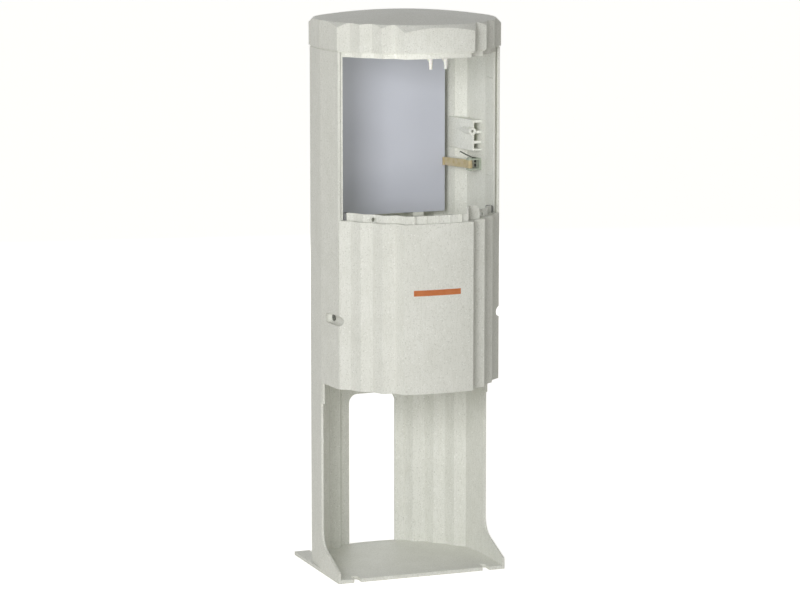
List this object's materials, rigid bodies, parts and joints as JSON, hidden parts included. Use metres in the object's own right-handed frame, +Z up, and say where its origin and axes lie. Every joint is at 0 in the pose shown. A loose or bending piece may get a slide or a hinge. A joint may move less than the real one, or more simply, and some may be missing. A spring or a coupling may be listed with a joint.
{
  "type": "electrical pillar cabinet",
  "caption": "Slim free-standing cable pillar of moulded glass-fibre polyester, open door bay with mounting plate over a removable fluted cover and an open lower bay",
  "frame": {"origin": "bottom centre of the bounding box, on the underside of the base plate", "axes": "+Z up, the door opening and cover face -Y, +X to the right of a person facing the cabinet's back wall from the front"},
  "size_m": [0.384, 0.415, 1.2],
  "materials": {
    "moulded_grp": "hot-pressed glass-fibre polyester, light grey with a fine speckle",
    "mounting_sheet": "semi-gloss bluish grey paint",
    "chromated_steel": "yellow-chromated zinc",
    "zinc_steel": "dull zinc plating",
    "dark_steel": "dark oxide",
    "peg_plastic": "moulded dark grey",
    "catch_plastic": "moulded pale grey",
    "orange_label": "smooth self-adhesive film"
  },
  "bodies": {
    "housing": {"rear_shell": "moulded_grp", "roof_cap": "moulded_grp", "mounting_plate": "mounting_sheet", "arm_bracket_left": "zinc_steel", "arm_bracket_right": "zinc_steel", "arm_pin_left": "zinc_steel", "arm_pin_right": "zinc_steel", "arm_spring_left": "zinc_steel", "arm_spring_right": "zinc_steel", "bracket_screws": "zinc_steel", "cover_screws": "dark_steel", "cover_washers": "zinc_steel", "cover_nuts": "zinc_steel", "door_catch": "catch_plastic", "catch_screws": "zinc_steel"},
    "front_cover": {"lower_front_cover": "moulded_grp", "orange_label": "orange_label", "door_peg_left": "peg_plastic", "door_peg_right": "peg_plastic"},
    "arm_left": {"plate_arm_left": "chromated_steel"},
    "arm_right": {"plate_arm_right": "chromated_steel"}
  },
  "joints": [
    {"name": "cover_slide", "type": "slide", "parent": "housing", "child": "front_cover", "axis": [0, -1, 0], "range_m": [0, 0.04]},
    {"name": "arm_left_swing", "type": "hinge", "parent": "housing", "child": "arm_left", "pos_m": [-0.16, 0.025, 0.86375], "axis": [0, 0, -1], "range_deg": [0, 90]},
    {"name": "arm_right_swing", "type": "hinge", "parent": "housing", "child": "arm_right", "pos_m": [0.16, 0.025, 0.86375], "axis": [0, 0, 1], "range_deg": [0, 90]}
  ]
}
